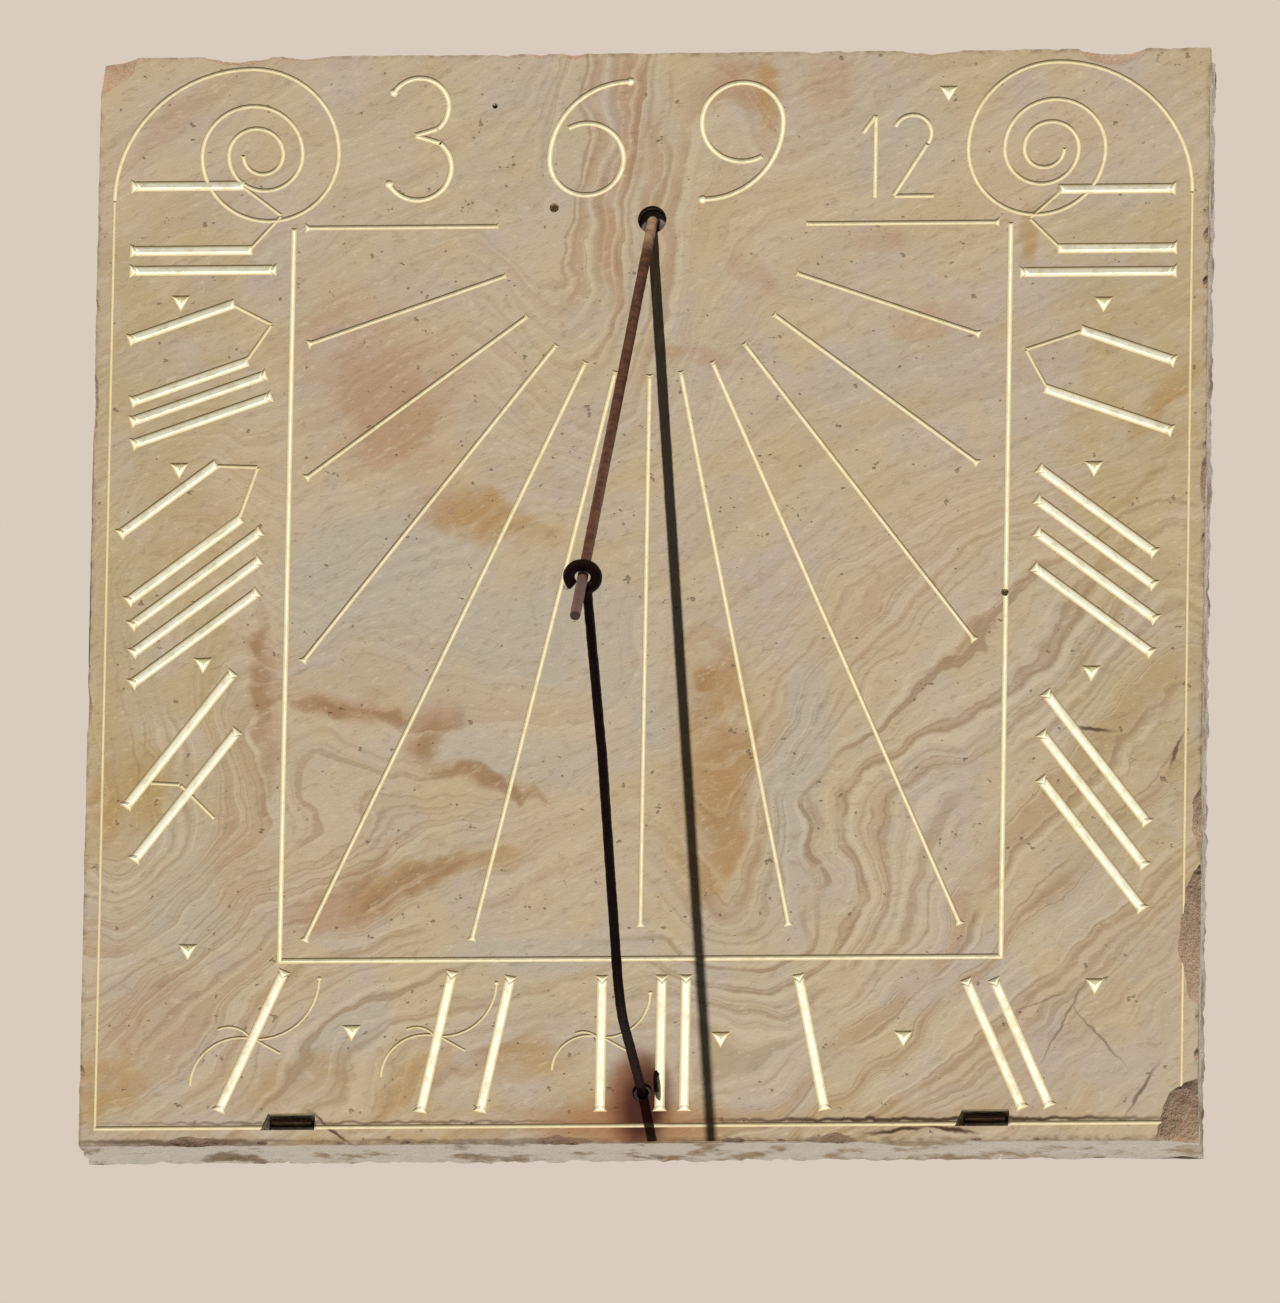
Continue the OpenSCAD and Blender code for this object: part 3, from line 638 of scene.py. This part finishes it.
rod_rust = Finish("brown_rusted_rod")
colour, normal = rusted(rod_rust, tint(86, 54, 34), tint(60, 37, 24), tint(106, 66, 41))
out_of_face = face_y / mm - rod_rust.part(rod_rust.at, 1)
limed_root = out_of_face.between(34, 12) * rod_rust.cloud(4, 3, 0.6).between(0.3, 0.5)
colour = rod_rust.mix(limed_root * 0.7, colour, tint(168, 136, 106))
# Painted sheen: the rod turns greyer and paler towards its tip
painted_tip_sheen = out_of_face.between(320, 350)
colour = rod_rust.mix(painted_tip_sheen * 0.5, colour, tint(112, 90, 82))
rod_rust.surface(colour, 0.8, normal, 0.0, 0.15)
fit_piece(forged_copy("gnomon_rod", "rusty_rod", 0.75 * mm, 0.22 * mm), "gnomon_rod",
          rod_rust.material)


def old_lead(name, stain, share, bare=0.35):
    """Poured lead gone dull, with rust from the iron washed over all but the bare part of it."""
    lead = Finish(name)
    bloom = lead.cloud(5, 3, 0.6)
    colour = lead.mix(bloom.between(0.4, 0.65), tint(86, 84, 82), tint(128, 125, 120))
    colour = lead.mix(lead.cloud(9, 3, 0.6).between(bare, bare + 0.25) * share, colour, stain)
    lead.surface(colour, lead.cloud(3).between(0.2, 0.8) * 0.25 + 0.5, lead.bump(bloom, 0.5), 0.35)
    return lead.material


socket_lead = old_lead("lead_round_rod", tint(70, 50, 40), 0.8)
fit_piece(forged_copy("gnomon_lead", "rod_socket_lead", 0.6 * mm, 0.3 * mm), "gnomon_lead",
          socket_lead)


# The strut: a round bar bent over the anvil into a long leg with an open eye round the rod, blacker
# than the rod. Its foot is leaded into the stone and a small staple wedges it there.
strut_rust = Finish("black_rusted_strut")
colour, normal = rusted(strut_rust, tint(27, 11, 7), tint(14, 6, 4), tint(46, 21, 13))
strut_rust.surface(colour, 0.8, normal, 0.0, 0.05)
fit_piece(forged_copy("strut_bar", "bent_strut", 0.7 * mm, 0.25 * mm), "strut_bar",
          strut_rust.material)
fit_piece(forged_copy("strut_staple", "foot_staple", 0.3 * mm, 0.18 * mm), "strut_staple",
          strut_rust.material)
foot_lead = old_lead("lead_round_foot", tint(46, 24, 18), 0.95, 0.05)
fit_piece(forged_copy("strut_lead", "foot_socket_lead", 0.5 * mm, 0.3 * mm), "strut_lead",
          foot_lead)


# Four flat cramps of wrought iron that hold the stone in the wall: two turned down into its top
# edge and two laid in slots at its foot, with nicked and split tails, and the lead that fixes them.
cramp_scale = Finish("forge_scaled_cramp")
colour, normal = rusted(cramp_scale, tint(74, 52, 40), tint(44, 34, 31), tint(138, 86, 48))
behind = cramp_scale.part(cramp_scale.at, 1).between(1, 9)
limed_tail = behind * cramp_scale.cloud(8, 4, 0.6).between(0.44, 0.56)
colour = cramp_scale.mix(limed_tail * 0.75, colour, tint(196, 184, 168))
cramp_scale.surface(colour, 0.75, normal, 0.15)
cramp_lead = old_lead("lead_in_cramp_pockets", tint(96, 78, 62), 0.5)
for place in ("top", "bottom"):
    for side in ("left", "right"):
        node = place + "_cramp_" + side
        fit_piece(forged_copy(node, node.replace("cramp", "wall_cramp"), 0.8 * mm, 0.3 * mm),
                  node, cramp_scale.material)
        node = place + "_lead_" + side
        fit_piece(forged_copy(node, node.replace("lead", "pocket_lead"), 0.8 * mm, 0.3 * mm),
                  node, cramp_lead)


# Where it stands for its picture: a pale floor far below, because a wall dial is seen from under
# it, and a pale even background. One hard light from high on the left throws the rod's shadow. Weak
# ones from behind, below and both sides light its edges, and a faint sky fills the shadows.
view_distance = 16.0
view_side = math.radians(5.72)
view_rise = math.radians(-14.12)
view_roll = math.radians(0.97)
view_target = Vector((-0.0026, face_y, -0.0314))
view_height = 0.6977
wall_colour = tint(217, 203, 190)
floor_radius = 2.2
floor_drop = 0.5

towards_viewer = Vector((math.sin(view_side) * math.cos(view_rise),
                         -math.cos(view_side) * math.cos(view_rise), math.sin(view_rise)))
camera = bpy.data.objects.new("camera", bpy.data.cameras.new("camera"))
bpy.context.scene.collection.objects.link(camera)
camera.data.lens = camera.data.sensor_width * view_distance / view_height
camera.data.clip_end = 100
camera.location = view_target + towards_viewer * view_distance
camera.rotation_mode = "QUATERNION"
roll = Matrix.Rotation(view_roll, 4, "Z").to_quaternion()
camera.rotation_quaternion = (-towards_viewer).to_track_quat("-Z", "Y") @ roll
bpy.context.scene.camera = camera


def lamp(name, towards, strength, size):
    """A far light that shines from a direction, with an apparent size in degrees."""
    made = bpy.data.objects.new(name, bpy.data.lights.new(name, "SUN"))
    made.data.energy = strength
    made.data.angle = math.radians(size)
    made.rotation_mode = "QUATERNION"
    made.rotation_quaternion = Vector(towards).to_track_quat("Z", "Y")
    bpy.context.scene.collection.objects.link(made)


lamp("high_left_light", (-0.122, -1, 0.704), 3.68, 0.5)
lamp("ground_light", (0.1, 0.65, -1), 2.4, 8)
lamp("right_light", (0.9, 0.6, 0.3), 2.2, 12)
lamp("left_light", (-0.9, 0.5, 0.2), 1.3, 12)

sky = bpy.data.worlds.new("sky")
sky.use_nodes = True
air = Nodes(sky.node_tree)
seen = air.node("ShaderNodeLightPath", output="Is Camera Ray")
for ray in ("Is Glossy Ray", "Is Transmission Ray"):
    seen = seen.larger(air.node("ShaderNodeLightPath", output=ray))
plain = air.node("ShaderNodeBackground", None, {"Color": wall_colour})
fill = air.node("ShaderNodeBackground", None, {"Color": (0.95, 0.98, 1.0, 1), "Strength": 0.05})
either = air.node("ShaderNodeMixShader", None, {0: seen, 1: fill, 2: plain})
air.node("ShaderNodeOutputWorld", None, {"Surface": either})
bpy.context.scene.world = sky

floor_mesh = bmesh.new()
bmesh.ops.create_circle(floor_mesh, cap_ends=True, segments=96, radius=floor_radius)
floor_z = camera.location.z - floor_drop
bmesh.ops.translate(floor_mesh, verts=floor_mesh.verts, vec=(0, 0, floor_z))
floor = bpy.data.objects.new("floor", bpy.data.meshes.new("floor"))
floor_mesh.to_mesh(floor.data)
floor_mesh.free()
bpy.context.scene.collection.objects.link(floor)
plaster = Finish("pale_floor")
plaster.surface(tint(225, 220, 212), 0.9, plaster.bump(plaster.cloud(30), 0.2))
floor.data.materials.append(plaster.material)

bpy.context.scene.view_settings.view_transform = "Standard"
